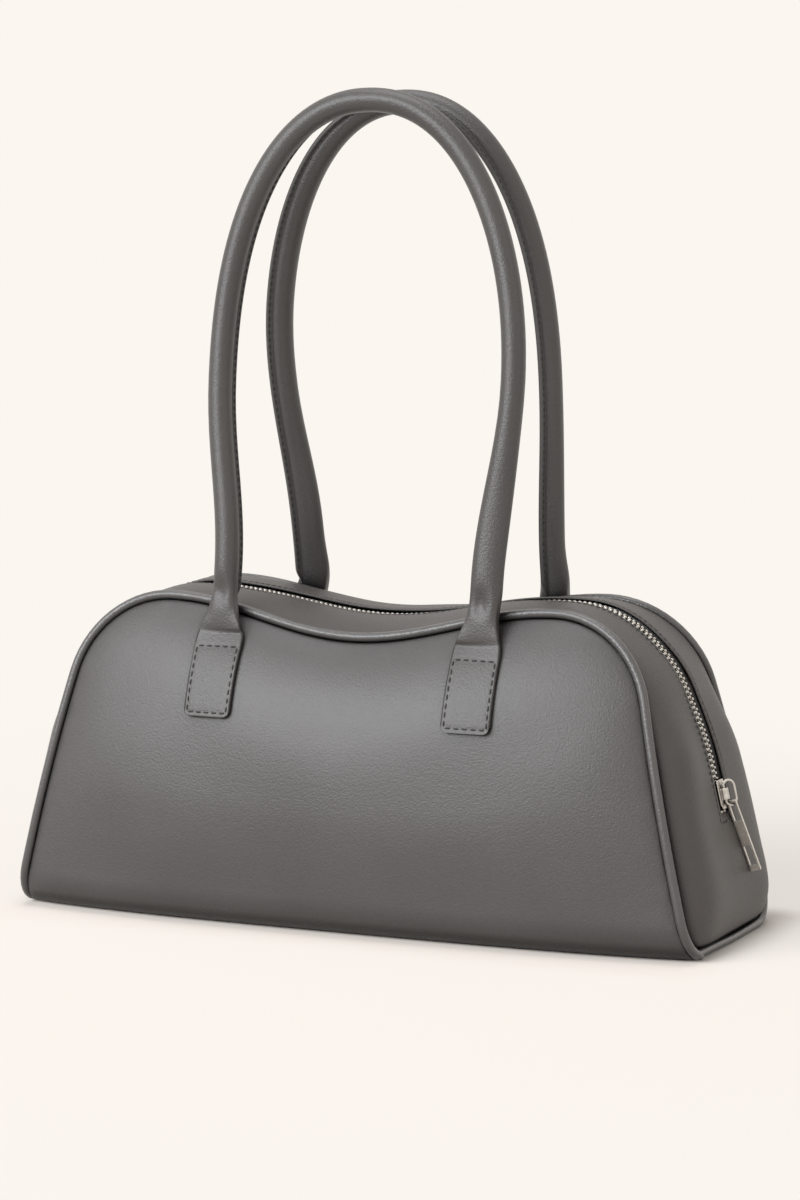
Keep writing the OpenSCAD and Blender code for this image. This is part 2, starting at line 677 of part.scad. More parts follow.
module cord_run(route, r, first) {
    skin([for (k = [first:handle_n - 1 - first])
        let (ahead = along(route, k), w = unit(cross([0, 1, 0], ahead)), d = cross(ahead, w))
        [for (j = [0:cord_sides - 1])
            route[k] + r * (cos(360 * j / cord_sides) * w + sin(360 * j / cord_sides) * d)]
    ]);
}
module handle(route) {
    color(LEATHER) difference() {
        handle_cover(route);
        cord_run(route, cord_r + touch, cord_start);
    }
}
module handle_front() {
    handle(front_route);
}
module handle_rear() {
    rotate([0, 0, 180]) handle(rear_route);
}
module handle_cord_front() {
    color(CORD) cord_run(front_route, cord_r, cord_start + 1);
}
module handle_cord_rear() {
    rotate([0, 0, 180]) color(CORD) cord_run(rear_route, cord_r, cord_start + 1);
}

front_panel();
back_panel();
base_panel();
gusset();
piping();
foam_front();
foam_back();
base_board();
lining_front();
lining_back();
lining_gusset();
lining_base();
zip_tape_front();
zip_tape_rear();
zip_teeth_front();
zip_teeth_rear();
zip_top_stops();
zip_bottom_stop();
zip_slider();
slider_ring();
zip_pull();
tab_front_left();
tab_front_right();
tab_rear_left();
tab_rear_right();
handle_front();
handle_rear();
handle_cord_front();
handle_cord_rear();
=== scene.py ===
import functools
import math

import bmesh
import bpy
from mathutils import Matrix, Vector, noise


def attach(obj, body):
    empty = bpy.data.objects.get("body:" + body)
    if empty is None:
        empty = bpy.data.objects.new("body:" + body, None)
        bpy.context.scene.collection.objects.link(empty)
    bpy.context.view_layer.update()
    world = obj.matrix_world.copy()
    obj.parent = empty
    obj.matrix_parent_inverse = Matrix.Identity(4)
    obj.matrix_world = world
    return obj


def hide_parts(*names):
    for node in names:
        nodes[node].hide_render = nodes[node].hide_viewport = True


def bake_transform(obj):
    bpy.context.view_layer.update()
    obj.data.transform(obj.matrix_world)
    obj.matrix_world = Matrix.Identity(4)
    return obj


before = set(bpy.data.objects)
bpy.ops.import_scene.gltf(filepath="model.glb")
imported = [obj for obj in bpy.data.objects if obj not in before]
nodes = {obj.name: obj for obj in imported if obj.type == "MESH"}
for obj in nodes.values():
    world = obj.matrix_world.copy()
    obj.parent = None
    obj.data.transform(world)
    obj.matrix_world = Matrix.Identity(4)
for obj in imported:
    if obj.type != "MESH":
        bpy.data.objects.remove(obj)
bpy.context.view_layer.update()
scene = bpy.context.scene
scene.view_settings.view_transform = "Standard"

# --- Studio -------------------------------------------------------------------------
# A seamless pale sweep, one large softbox in front on the left, another above, a weak
# strip on the right and an even room light. The camera stands well back, a little
# above the bag, and sees its front and its right end.


def linear(code):
    """An sRGB hex colour as linear values."""
    parts = [int(code[k:k + 2], 16) / 255 for k in (1, 3, 5)]
    return [c / 12.92 if c <= 0.04045 else ((c + 0.055) / 1.055) ** 2.4 for c in parts] + [1.0]


def fill(tree, node, inputs):
    """Sets a node's inputs, each to a value or from another node's output."""
    for name, value in inputs.items():
        if isinstance(value, bpy.types.NodeSocket):
            tree.links.new(value, node.inputs[name])
        else:
            node.inputs[name].default_value = value


def add(tree, kind, inputs=None, stops=None, **settings):
    """A shader node with its settings, its inputs and, on a colour ramp, its stops."""
    made = tree.nodes.new("ShaderNode" + kind)
    for name, value in settings.items():
        setattr(made, name, value)
    fill(tree, made, inputs or {})
    for k, (place, colour) in enumerate(stops or []):
        ramp = made.color_ramp.elements
        stop = ramp[k] if k < len(ramp) else ramp.new(place)
        stop.position = place
        stop.color = colour
    return made


def rays(tree, *kinds):
    """1 for rays of these kinds, which then see something other than the light does."""
    path = add(tree, "LightPath")
    seen = path.outputs[kinds[0]]
    for kind in kinds[1:]:
        both = {0: seen, 1: path.outputs[kind]}
        seen = add(tree, "Math", both, operation="MAXIMUM").outputs[0]
    return seen


def remap(tree, value, low, high, to_low, to_high, **settings):
    """Spreads what lies between low and high over to_low to to_high."""
    made = add(tree, "MapRange", {"Value": value, "From Min": low, "From Max": high,
                                  "To Min": to_low, "To Max": to_high}, **settings)
    return made.outputs[0]


def times(tree, a, b):
    return add(tree, "Math", {0: a, 1: b}, operation="MULTIPLY").outputs[0]


PALE = linear("#fbf6f0")

# a 105 mm lens on a 36 mm frame height, 24.2 degrees round and 6.3 degrees down
round_turn, down = math.radians(24.24), math.radians(6.32)
camera = bpy.data.objects.new("camera", bpy.data.cameras.new("camera"))
scene.collection.objects.link(camera)
camera.data.lens = 105.0
camera.data.sensor_width = 36.0
camera.data.clip_end = 50
camera.location = (0.6758, -1.4890, 0.3306)
camera.rotation_euler = (math.pi / 2 - down, 0, round_turn)
scene.camera = camera

room = bpy.data.worlds.new("pale_room")
room.use_nodes = True
scene.world = room
tree = room.node_tree
tree.nodes.clear()
seen = rays(tree, "Is Camera Ray", "Is Glossy Ray", "Is Transmission Ray")
light = add(tree, "Background", {"Color": linear("#fff9f3"), "Strength": 0.32})
shown = add(tree, "Background", {"Color": PALE, "Strength": 1.0})
both = add(tree, "MixShader", {0: seen, 1: light.outputs[0], 2: shown.outputs[0]})
add(tree, "OutputWorld", {"Surface": both.outputs[0]})


def softbox(name, place, aim, size, power, colour):
    """A rectangular area lamp of a size in metres and a power in watts."""
    lamp = bpy.data.lights.new(name, "AREA")
    lamp.shape = "RECTANGLE"
    lamp.size, lamp.size_y = size
    lamp.energy = power
    lamp.color = colour
    holder = bpy.data.objects.new(name, lamp)
    scene.collection.objects.link(holder)
    holder.location = place
    holder.rotation_euler = (Vector(aim) - Vector(place)).to_track_quat("-Z", "Y").to_euler()


softbox("softbox_left", (-1.0, -2.1, 1.25), (0, 0, 0.12), (1.9, 1.2), 56, (0.955, 0.975, 1.0))
softbox("softbox_above", (-0.2, -0.1, 2.3), (0, 0, 0.1), (1.4, 1.4), 19, (0.97, 0.98, 1.0))
softbox("strip_right", (1.6, -0.3, 0.9), (0.1, 0, 0.1), (0.4, 1.2), 1.5, (1.0, 0.96, 0.92))

sweep_r = 6.0
footprint = (0.163, 0.064, 0)  # half the bag's, where its shadow is darkest
contact = 0.03  # from the footprint to where the paper begins to glow
glow_from, glow_to, least_glow = 0.2, 0.75, 0.6

sweep = bmesh.new()
bmesh.ops.create_circle(sweep, cap_ends=True, segments=96, radius=sweep_r)
floor_mesh = bpy.data.meshes.new("floor")
sweep.to_mesh(floor_mesh)
sweep.free()
floor = bpy.data.objects.new("floor", floor_mesh)
scene.collection.objects.link(floor)
paper = bpy.data.materials.new("matt_backdrop_paper")
paper.use_nodes = True
tree = paper.node_tree
tree.nodes.clear()
# paper takes the bag's shadow, darkest where they touch, and fades with distance to the
# room's own pale colour
place = add(tree, "TexCoord").outputs["Object"]
far = add(tree, "VectorMath", {0: place}, operation="LENGTH").outputs["Value"]
fade = remap(tree, far, glow_from, glow_to, least_glow, 1.0, interpolation_type="SMOOTHSTEP")
beside = add(tree, "VectorMath", {0: place}, operation="ABSOLUTE").outputs[0]
beside = add(tree, "VectorMath", {0: beside, 1: footprint}, operation="SUBTRACT").outputs[0]
beside = add(tree, "VectorMath", {0: beside, 1: (0, 0, 0)}, operation="MAXIMUM").outputs[0]
beside = add(tree, "VectorMath", {0: beside}, operation="LENGTH").outputs["Value"]
near = remap(tree, beside, 0.0, contact, 0.0, 1.0, interpolation_type="SMOOTHSTEP")
fade = times(tree, times(tree, fade, near), rays(tree, "Is Camera Ray", "Is Glossy Ray"))
matt = add(tree, "BsdfDiffuse", {"Color": linear("#e9e2db"), "Roughness": 1.0})
glow = add(tree, "Emission", {"Color": PALE, "Strength": 1.0})
both = add(tree, "MixShader", {0: fade, 1: matt.outputs[0], 2: glow.outputs[0]})
add(tree, "OutputMaterial", {"Surface": both.outputs[0]})
floor_mesh.materials.append(paper)

# --- Front and back panels ----------------------------------------------------------
# Each is one piece of smooth synthetic leather over thin foam, sewn to the piping all
# round and rolled under to the base. It is crowned, sags at its top edge, and draws in
# with faint puckers at the seam. All sizes are in millimetres.

body_l, body_d, top_d, body_h = 340, 112, 68, 149
end_lean, shoulder_r, top_sag, roll_r = math.radians(13), 48, 15, 18
panel_full, end_full, top_full, shoulder_full = 15, 10.5, 8, 2
leather_t, piping_r = 1.3, 2.2
depth_power, roll_share, full_rise = 2.4, 0.65, 0.45
seam = piping_r + 0.1
shoulder_z = piping_r + body_h
arc_z = shoulder_z - shoulder_r


def clamp(x, low, high):
    return min(high, max(low, x))


def ease(t):
    return (1 - math.cos(math.pi * clamp(t, 0, 1))) / 2


def mix(a, b, t):
    return a + (b - a) * t


@functools.cache
def corner_x(i):
    """Where the outline, inset by i, would turn its corner without a shoulder."""
    return body_l / 2 - i / math.cos(end_lean) - (body_h - i) * math.tan(end_lean)


@functools.cache
def arc_x(i):
    """Where the shoulder of the outline, inset by i, begins."""
    return corner_x(i) - (shoulder_r - i) * math.tan((math.pi / 2 - end_lean) / 2)


def arc_len(i):
    return (shoulder_r - i) * (math.pi / 2 - end_lean)


def end_q(z, i):
    """Distance along the outline, inset by i, at which its leaning end has height z."""
    drop = arc_z + (shoulder_r - i) * math.sin(end_lean) - z
    return arc_x(i) + arc_len(i) + drop / math.cos(end_lean)


def edge_angle(q, i):
    return clamp(math.pi / 2 - (q - arc_x(i)) / (shoulder_r - i), end_lean, math.pi / 2)


def edge_point(q, i):
    """The outline seen square on: sagging top, shoulder, leaning end."""
    if q < 0:
        x, z = edge_point(-q, i)
        return -x, z
    if q <= arc_x(i):
        return q, shoulder_z - i - top_sag * (1 + math.cos(math.pi * q / arc_x(i))) / 2
    a, d = edge_angle(q, i), max(0, q - arc_x(i) - arc_len(i))
    return (arc_x(i) + (shoulder_r - i) * math.cos(a) + d * math.sin(end_lean),
            arc_z + (shoulder_r - i) * math.sin(a) - d * math.cos(end_lean))


def edge_normal(q):
    """Outwards from the outline, in its own plane."""
    if q < 0:
        n = edge_normal(-q)
        return Vector((-n.x, 0, n.z))
    if q <= arc_x(0):
        slope = -top_sag / 2 * math.pi / arc_x(0) * math.sin(math.pi * q / arc_x(0))
        return Vector((slope, 0, 1)).normalized()
    return Vector((math.cos(edge_angle(q, 0)), 0, math.sin(edge_angle(q, 0))))


def half_d(z):
    """Half the bag's depth at the piping."""
    return mix(body_d, top_d, (max(0, z) / shoulder_z) ** depth_power) / 2


panel_top_q = arc_x(seam) + arc_len(seam) / 2
panel_low_q = end_q(0, seam)
panel_low_x = edge_point(panel_low_q, seam)[0]


def panel_point(u, w):
    """Front panel for u from -1 to 1 along it and w from 0 to 1 up it."""
    a = abs(u)
    top = edge_point(a * panel_top_q, seam)
    side = edge_point(mix(panel_low_q, panel_top_q, w), seam)
    middle, corner = edge_point(0, seam), edge_point(panel_top_q, seam)
    low = (panel_low_x, 0)
    x, z = ((1 - w) * a * low[k] + w * top[k] + (1 - a) * w * middle[k] + a * side[k]
            - (a * (1 - w) * low[k] + (1 - a) * w * middle[k] + a * w * corner[k])
            for k in (0, 1))
    z = max(0, z)
    roll = roll_r - math.sqrt(roll_r ** 2 - (roll_r - z) ** 2) if z < roll_r else 0
    full = (panel_full * max(0, 1 - a ** 3) ** 0.8 * mix(roll_share, 1, ease(w / full_rise))
            * max(0, 1 - w ** 6) ** 0.8)
    return Vector((math.copysign(x, u) if u else 0, -(half_d(z) + full - roll), z))


def surface(name):
    """A new material, its node tree, its shader and the object's own coordinates."""
    made = bpy.data.materials.new(name)
    made.use_nodes = True
    tree = made.node_tree
    return made, tree, tree.nodes["Principled BSDF"], add(tree, "TexCoord").outputs["Object"]


def toned(tree, source, *stops):
    """A texture as colours, each given by its place on the ramp and its hex code."""
    stops = [(place, linear(code)) for place, code in stops]
    return add(tree, "ValToRGB", {"Fac": source}, stops).outputs[0]


def painted_crevice_shade(tree, reach, low, high, darkest):
    """Painted shade: 1 in the open, and down to darkest where another surface is within reach."""
    sky = add(tree, "AmbientOcclusion", {"Distance": reach}, samples=8).outputs["AO"]
    return remap(tree, sky, low, high, darkest, 1.0)


def shaded(tree, colour, share):
    return add(tree, "VectorMath", {0: colour, "Scale": share}, operation="SCALE").outputs[0]


def leather(name, dark, pale, roughness, coat):
    """Smooth coated synthetic leather: an even satin skin, with a fine pressed grain that
    only shows in the highlights, and a slight unevenness of tone from handling."""
    made, tree, skin, place = surface(name)
    # tone: soft clouds about 60 mm wide, and pores about 0.9 mm apart
    cloud = add(tree, "TexNoise", {"Vector": place, "Scale": 1 / 0.06, "Detail": 3.0})
    tone = toned(tree, cloud.outputs[0], (0.3, dark), (0.7, pale))
    pore = add(tree, "TexVoronoi", {"Vector": place, "Scale": 1 / 0.0009, "Randomness": 0.9},
               feature="SMOOTH_F1").outputs["Distance"]
    share = remap(tree, pore, 0.1, 0.7, 1.04, 0.93)
    # painted shade: darker within 9 mm of a seam, an edge or another surface, where shade falls
    share = times(tree, share, painted_crevice_shade(tree, 0.009, 0.35, 0.96, 0.12))
    # pressed grain: 0.9 mm pebbles and 0.5 mm creases, a little over 0.1 mm deep
    crease = add(tree, "TexNoise", {"Vector": place, "Scale": 1 / 0.0005, "Detail": 2.0,
                                    "Roughness": 0.65})
    grain = add(tree, "Bump", {"Height": crease.outputs[0], "Strength": 1.0,
                               "Distance": 0.00012})
    grain = add(tree, "Bump", {"Height": pore, "Strength": 1.0, "Distance": 0.00014,
                               "Normal": grain.outputs[0]}, invert=True)
    gloss = remap(tree, cloud.outputs[0], 0.0, 1.0, roughness - 0.05, roughness + 0.05)
    fill(tree, skin, {"Base Color": shaded(tree, tone, share), "Normal": grain.outputs[0],
                      "Roughness": gloss, "Coat Weight": coat, "Coat Roughness": 0.4})
    return made


panel_leather = leather("satin_synthetic_leather", "#4d4b4b", "#535151", 0.41, 0.26)


def piece(name, bm, finishes, body, stands_for, scale=0.001):
    """A mesh drawn in millimetres becomes an object that rides on a body of the frame."""
    bmesh.ops.scale(bm, vec=(scale,) * 3, verts=bm.verts)
    mesh = bpy.data.meshes.new(name)
    bm.to_mesh(mesh)
    bm.free()
    made = bpy.data.objects.new(name, mesh)
    scene.collection.objects.link(made)
    for finish in finishes:
        mesh.materials.append(finish)
    if body:
        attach(made, body)
    if stands_for:
        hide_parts(*stands_for)
    return made


def smooth(bm):
    for f in bm.faces:
        f.smooth = True


def walled(made, thickness):
    """Gives a single skin its thickness, inwards."""
    wall = made.modifiers.new("wall", "SOLIDIFY")
    wall.thickness = thickness * 0.001
    wall.offset = -1
    wall.use_even_offset = True


def rear_lift(x):
    """Behind the zip, the bag's top stands a little higher at the left and in the middle."""
    return 1.8 * ease((70 - x) / 80) * (1 - ease((-x - 130) / 40))


panel_columns, panel_rows = 110, 72
panel_soft, panel_pucker = 0.9, 0.45


def leather_panel(name, side, body_nodes):
    """One panel, in front for side 1 and behind for side -1."""
    bm = bmesh.new()
    bmesh.ops.create_grid(bm, x_segments=panel_columns, y_segments=panel_rows, size=1)
    for v in bm.verts:
        # rows and columns gather towards the edges
        a, b = v.co.x, (v.co.y + 1) / 2
        u, w = 1.5 * a - 0.5 * a ** 3, mix(b, b * b * (3 - 2 * b), 0.8)
        p = panel_point(u, w)
        # faint softness all over, and puckers within a few millimetres of the seam
        inside = min(1 - abs(u), (1 - w) * 0.6)
        drape = noise.noise(Vector((p.x / 55, p.z / 45, 3.1 * side)))
        soft = drape * panel_soft * clamp(inside / 0.2, 0, 1)
        gather = noise.noise(Vector((p.x / 7, p.z / 7, 9 + side)))
        pucker = (gather * panel_pucker * math.exp(-inside / 0.035)
                  * clamp(inside / 0.01, 0, 1))
        p.y -= (soft + pucker) * clamp(p.z / 20, 0, 1)
        p.y *= side
        if side < 0:
            p.z += rear_lift(p.x) * w ** 24
        v.co = p
    if side < 0:
        bmesh.ops.reverse_faces(bm, faces=bm.faces)
    smooth(bm)
    walled(piece(name, bm, [panel_leather], "bag", body_nodes), leather_t)


leather_panel("panel_leather_front", 1, ["front_panel"])
leather_panel("panel_leather_rear", -1, ["back_panel"])

# --- Base ---------------------------------------------------------------------------
# A flat bottom of the same leather, sewn between the two panels, on a stiff board that
# keeps the bag's floor level. It is seen only from below.

merge_dist = 2e-6  # metres
flat_angle, sharp_angle = math.radians(1), math.radians(28)


def softened(node, name, finish, body, radius=0.0):
    """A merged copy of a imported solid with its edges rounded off."""
    bm = bmesh.new()
    bm.from_mesh(nodes[node].data)
    bmesh.ops.remove_doubles(bm, verts=bm.verts, dist=merge_dist)
    bmesh.ops.dissolve_limit(bm, angle_limit=flat_angle, verts=bm.verts, edges=bm.edges)
    if radius:
        sharp = [e for e in bm.edges if e.is_manifold and e.calc_face_angle() > sharp_angle]
        for f in bm.faces:
            f.smooth = False
        made = bmesh.ops.bevel(bm, geom=sharp, offset=radius * 0.001, offset_type="OFFSET",
                               segments=2, profile=0.5, affect="EDGES", clamp_overlap=True,
                               material=-1)
        for f in made["faces"]:
            f.smooth = True
    else:
        smooth(bm)
    return piece(name, bm, [finish], body, [node], 1)


base_leather = leather("satin_base_leather", "#565453", "#5b5958", 0.5, 0.05)
softened("base_panel", "base_leather", base_leather, "bag", 0.3)

# --- Gusset -------------------------------------------------------------------------
# One long strip of leather over both ends and the top, crowned across its width. The
# slot for the zip has turned edges, topstitched on both sides and across both ends.

slot_w, slot_end_z, taper_h = 12, 56, 26
slot_side = slot_w / 2
shoulder_q = arc_x(0) + arc_len(0) / 2
full_q = arc_x(0) + arc_len(0) + 35
gusset_low_q = end_q(piping_r + seam, 0)
slot_q = end_q(slot_end_z, 0)
# across the strip, from the turned edge of the slot outwards: (distance, rise)
turned = [(0, -0.75), (0.12, -0.3), (0.4, -0.04), (0.9, 0.06), (1.7, 0.03), (2.1, -0.08),
          (2.45, -0.2), (2.8, -0.08), (3.2, 0.03), (4.2, 0.0)]
outer_n, along_n = 10, 190
columns = len(turned) + outer_n
gusset_soft, gusset_pucker = 0.7, 0.35


def gusset_y(z, i):
    """Half the strip's width, inset by i, which draws in where the panels roll under."""
    up = piping_r + roll_r - z
    if up <= 0:
        return half_d(z) - i
    return half_d(z) - (roll_r - (roll_r - i) * math.sqrt(max(0, 1 - (up / (roll_r - i)) ** 2)))


def gusset_full(q):
    """How far the middle of the strip stands out from the outline."""
    a = abs(q)
    up = (edge_point(a, 0)[1] - piping_r - seam) / taper_h
    taper = math.sqrt(max(0, 1 - (1 - up) ** 2)) if up < 1 else 1
    if a < shoulder_q:
        return taper * mix(top_full, shoulder_full, ease(a / shoulder_q))
    return taper * mix(shoulder_full, end_full, ease((a - shoulder_q) / (full_q - shoulder_q)))


def gusset_point(q, y, depth):
    """The strip's outside at q along and y across it, or depth below that."""
    x, z = edge_point(q, 0)
    share = abs(y) / gusset_y(z, seam)
    # over the ends and behind the zip the leather bellies out beside the seam
    plump = 1 - share ** 6 + 0.12 * math.sin(math.pi * share ** 2.5)
    behind = 0.85 - 0.85 * ease((q - 10) / 60) if y > 0 else 0
    belly = max(behind, ease((abs(q) - shoulder_q) / (full_q - shoulder_q)))
    out = gusset_full(q) * mix(1 - share ** 2, plump, belly) - depth
    spot = Vector((x, y, z)) + edge_normal(q) * out
    if y > 0:
        spot.z += rear_lift(x) * share * edge_normal(q).z
    return spot


def gusset_normal(q, y):
    a = gusset_point(q + 0.5, y, 0) - gusset_point(q - 0.5, y, 0)
    b = gusset_point(q, y + 0.5, 0) - gusset_point(q, y - 0.5, 0)
    n = a.cross(b)
    return n.normalized() * (-1 if n.dot(edge_normal(q)) < 0 else 1)


bm = bmesh.new()
bmesh.ops.create_grid(bm, x_segments=along_n, y_segments=2 * columns - 1, size=1)
for v in bm.verts:
    t = round((v.co.x + 1) / 2 * along_n)
    s = v.co.y * (columns - 0.5)
    k = round(abs(s) - 0.5)
    q = mix(-gusset_low_q, gusset_low_q, t / along_n)
    # rows gather where the slot ends, so that its ends are square
    for end in (-slot_q, slot_q):
        if abs(q - end) < gusset_low_q / along_n:
            q = end
    z = edge_point(q, 0)[1]
    edge = gusset_y(z, seam)
    if k < len(turned):
        y, rise = slot_side + turned[k][0], turned[k][1]
    else:
        y, rise = mix(slot_side + turned[-1][0], edge, (k - len(turned) + 1) / outer_n), 0
    # past the slot's ends the turned edges flatten out within 5 mm
    if abs(q) > slot_q + 0.01:
        past = clamp((abs(q) - slot_q) / 5, 0, 1)
        rise *= 1 - past
        if k == 0:
            y = mix(y, slot_side, past)
    y = math.copysign(y, s)
    p = gusset_point(q, y, 0)
    inside = edge - abs(y)
    drape = noise.noise(Vector((p.x / 40, y / 25, p.z / 40)))
    soft = drape * gusset_soft * clamp(inside / 10, 0, 1)
    gather = noise.noise(Vector((p.x / 6, y / 6 + 5, p.z / 6)))
    pucker = gather * gusset_pucker * math.exp(-inside / 4) * clamp(inside / 0.8, 0, 1)
    above = clamp((z - 8) / 10, 0, 1)
    v.co = p + edge_normal(q) * (rise + soft + pucker) * above
    v.co += edge_normal(q) * rise * (1 - above)
bm.normal_update()
slot_low_z = edge_point(slot_q, 0)[1] + 1.0 + end_full * math.sin(end_lean)
slot_faces = [f for f in bm.faces if f.calc_center_median().z > slot_low_z
              and all(abs(v.co.y) <= slot_side + 0.001 for v in f.verts)]
bmesh.ops.delete(bm, geom=slot_faces, context="FACES")
smooth(bm)
if max(bm.faces, key=lambda f: f.calc_center_median().z).normal.z < 0:
    bmesh.ops.reverse_faces(bm, faces=bm.faces)
gusset_leather = leather("satin_gusset_leather", "#4a4644", "#4f4b49", 0.5, 0.08)
walled(piece("gusset_leather", bm, [gusset_leather], "bag", ["gusset"]), leather_t)

# --- Thread -------------------------------------------------------------------------
# Bonded polyester thread a shade darker than the leather. Each stitch is a short plump
# run of thread that dips into its hole at both ends.


def thread_finish(name, dark, pale):
    """Twisted and bonded thread: its two plies show as flecks about 0.4 mm long."""
    made, tree, strand, place = surface(name)
    ply = add(tree, "TexNoise", {"Vector": place, "Scale": 1 / 0.0004, "Detail": 1.0})
    twist = add(tree, "Bump", {"Height": ply.outputs[0], "Strength": 0.5, "Distance": 0.0001})
    fill(tree, strand, {"Base Color": toned(tree, ply.outputs[0], (0.35, dark), (0.65, pale)),
                        "Normal": twist.outputs[0], "Roughness": 0.6, "Sheen Weight": 0.15})
    return made


zip_thread = thread_finish("bonded_thread_grey", "#3a3837", "#514e4d")
dark_thread = thread_finish("bonded_thread_dark", "#161515", "#2c2a2a")

bm = bmesh.new()
bmesh.ops.create_uvsphere(bm, u_segments=8, v_segments=5, radius=1)
plump_stitch = bpy.data.meshes.new("stitch")
bm.to_mesh(plump_stitch)
bm.free()


def set_in(bm, mesh, matrix, flipped=False):
    """Adds a placed copy of a small mesh to a larger one."""
    placed = mesh.copy()
    placed.transform(matrix)
    if flipped:
        placed.flip_normals()
    bm.from_mesh(placed)
    bpy.data.meshes.remove(placed)


def sew(bm, line, pitch, length, radius):
    """Stitches of one length along a line of (point, outward normal)."""
    lengths = [0.0]
    for (a, _), (b, _) in zip(line, line[1:]):
        lengths.append(lengths[-1] + (b - a).length)
    count = max(1, round(lengths[-1] / pitch))
    size = Matrix.Diagonal((length / 2, radius, radius * 0.9, 1))
    k = 0
    for n in range(count):
        s = (n + 0.5) * lengths[-1] / count
        while k < len(line) - 2 and lengths[k + 1] < s:
            k += 1
        t = (s - lengths[k]) / max(1e-6, lengths[k + 1] - lengths[k])
        p = line[k][0].lerp(line[k + 1][0], t)
        out = line[k][1].lerp(line[k + 1][1], t).normalized()
        ahead = (line[k + 1][0] - line[k][0]).normalized()
        side = out.cross(ahead).normalized()
        out = ahead.cross(side)
        turn = Matrix((ahead, side, out)).transposed().to_4x4()
        set_in(bm, plump_stitch, Matrix.Translation(p) @ turn @ size)


def thread_piece(name, bm, body, finish):
    smooth(bm)
    return piece(name, bm, [finish], body, [])


zip_stitch = {"pitch": 3.1, "length": 2.35, "radius": 0.36}
line_y = slot_side + 2.45
line_q = slot_q + 2
bm = bmesh.new()
for side in (-1, 1):
    line = []
    for k in range(401):
        q = mix(-line_q, line_q, k / 400)
        line.append((gusset_point(q, side * line_y, 0.12), gusset_normal(q, side * line_y)))
    sew(bm, line, **zip_stitch)
for end in (-1, 1):
    q = end * line_q
    line = [(gusset_point(q, mix(-line_y, line_y, k / 10), 0), gusset_normal(q, 0.01))
            for k in range(11)]
    sew(bm, line, **zip_stitch)
thread_piece("zip_topstitching", bm, "bag", zip_thread)

# --- Piping -------------------------------------------------------------------------
# A thin cord wrapped in the same leather and sewn into the seam. One closed loop runs
# round the front, under each end and round the back.

piping_sides = 14
roll_n, end_n, arc_n, top_n = 8, 12, 14, 16  # steps along each stretch of a quarter


def loop_edges(loop):
    """The edges of a closed loop of vertices, in order."""
    return [next(e for e in v.link_edges if e.other_vert(v) is loop[(k + 1) % len(loop)])
            for k, v in enumerate(loop)]


def drawn_from(v, old):
    """The vertex that an extrusion has just drawn out of v."""
    others = [e.other_vert(v) for e in v.link_edges]
    return next(o for o in others if o not in old and len(o.link_edges) <= 3)


def loft(bm, rings, closed):
    """A skin through rings of points, each ring drawn out from the one before."""
    count = len(rings[0])
    first = bmesh.ops.create_circle(bm, segments=count, radius=1)["verts"]
    bm.verts.ensure_lookup_table()
    order = [first[0]]
    while len(order) < count:
        nexts = [e.other_vert(order[-1]) for e in order[-1].link_edges]
        order.append(next(v for v in nexts if v not in order))
    start = order
    for v, p in zip(order, rings[0]):
        v.co = p
    for ring in rings[1:]:
        bmesh.ops.extrude_edge_only(bm, edges=loop_edges(order))
        old = set(order)
        order = [drawn_from(v, old) for v in order]
        for v, p in zip(order, ring):
            v.co = p
    if closed:
        bmesh.ops.bridge_loops(bm, edges=loop_edges(start) + loop_edges(order))


def piping_route():
    """Points of one quarter, front right, from under the end to the top's middle."""
    quarter = []
    for k in range(roll_n + 1):
        a = math.pi / 2 * k / roll_n
        z = piping_r + roll_r * (1 - math.cos(a))
        quarter.append((end_q(z, 0), half_d(z) - roll_r + roll_r * math.sin(a)))
    join = arc_z + shoulder_r * math.sin(end_lean)
    qs = [end_q(mix(piping_r + roll_r, join, k / end_n), 0) for k in range(1, end_n)]
    qs += [arc_x(0) + arc_len(0) * (1 - k / arc_n) for k in range(arc_n)]
    qs += [arc_x(0) * (1 - k / top_n) for k in range(top_n)]
    return quarter + [(q, half_d(edge_point(q, 0)[1])) for q in qs]


there = piping_route()
back = there[::-1]
low_q, top_y = there[0][0], half_d(edge_point(0, 0)[1])
route = [(q, -y) for q, y in there] + [(0, -top_y)] + [(-q, -y) for q, y in back]
route += [(-low_q, 0)] + [(-q, y) for q, y in there] + [(0, top_y)]
route += [(q, y) for q, y in back] + [(low_q, 0)]
points = [Vector((edge_point(q, 0)[0], y, edge_point(q, 0)[1])) for q, y in route]
for (q, y), p in zip(route, points):
    if y > 0:
        p.z += rear_lift(p.x) * edge_normal(q).z
turns = [2 * math.pi * s / piping_sides for s in range(piping_sides)]
rings = []
for k, (q, y) in enumerate(route):
    along = (points[(k + 1) % len(points)] - points[k - 1]).normalized()
    n = edge_normal(q)
    u = (n - n.dot(along) * along).normalized()
    v = along.cross(u)
    r = piping_r * (1 + 0.025 * noise.noise(points[k] / 9))
    rings.append([points[k] + r * (math.cos(a) * u + math.sin(a) * v) for a in turns])
bm = bmesh.new()
loft(bm, rings, True)
bmesh.ops.recalc_face_normals(bm, faces=bm.faces)
smooth(bm)
piping_leather = leather("satin_piping_leather", "#4e4c4c", "#545252", 0.27, 0.6)
piece("piping_leather", bm, [piping_leather], "bag", ["piping"])

# --- Foam, board and lining ---------------------------------------------------------
# Thin foam behind both panels keeps them full, the board stiffens the floor, and a
# plain woven lining closes the inside. None of it shows while the zip is closed.


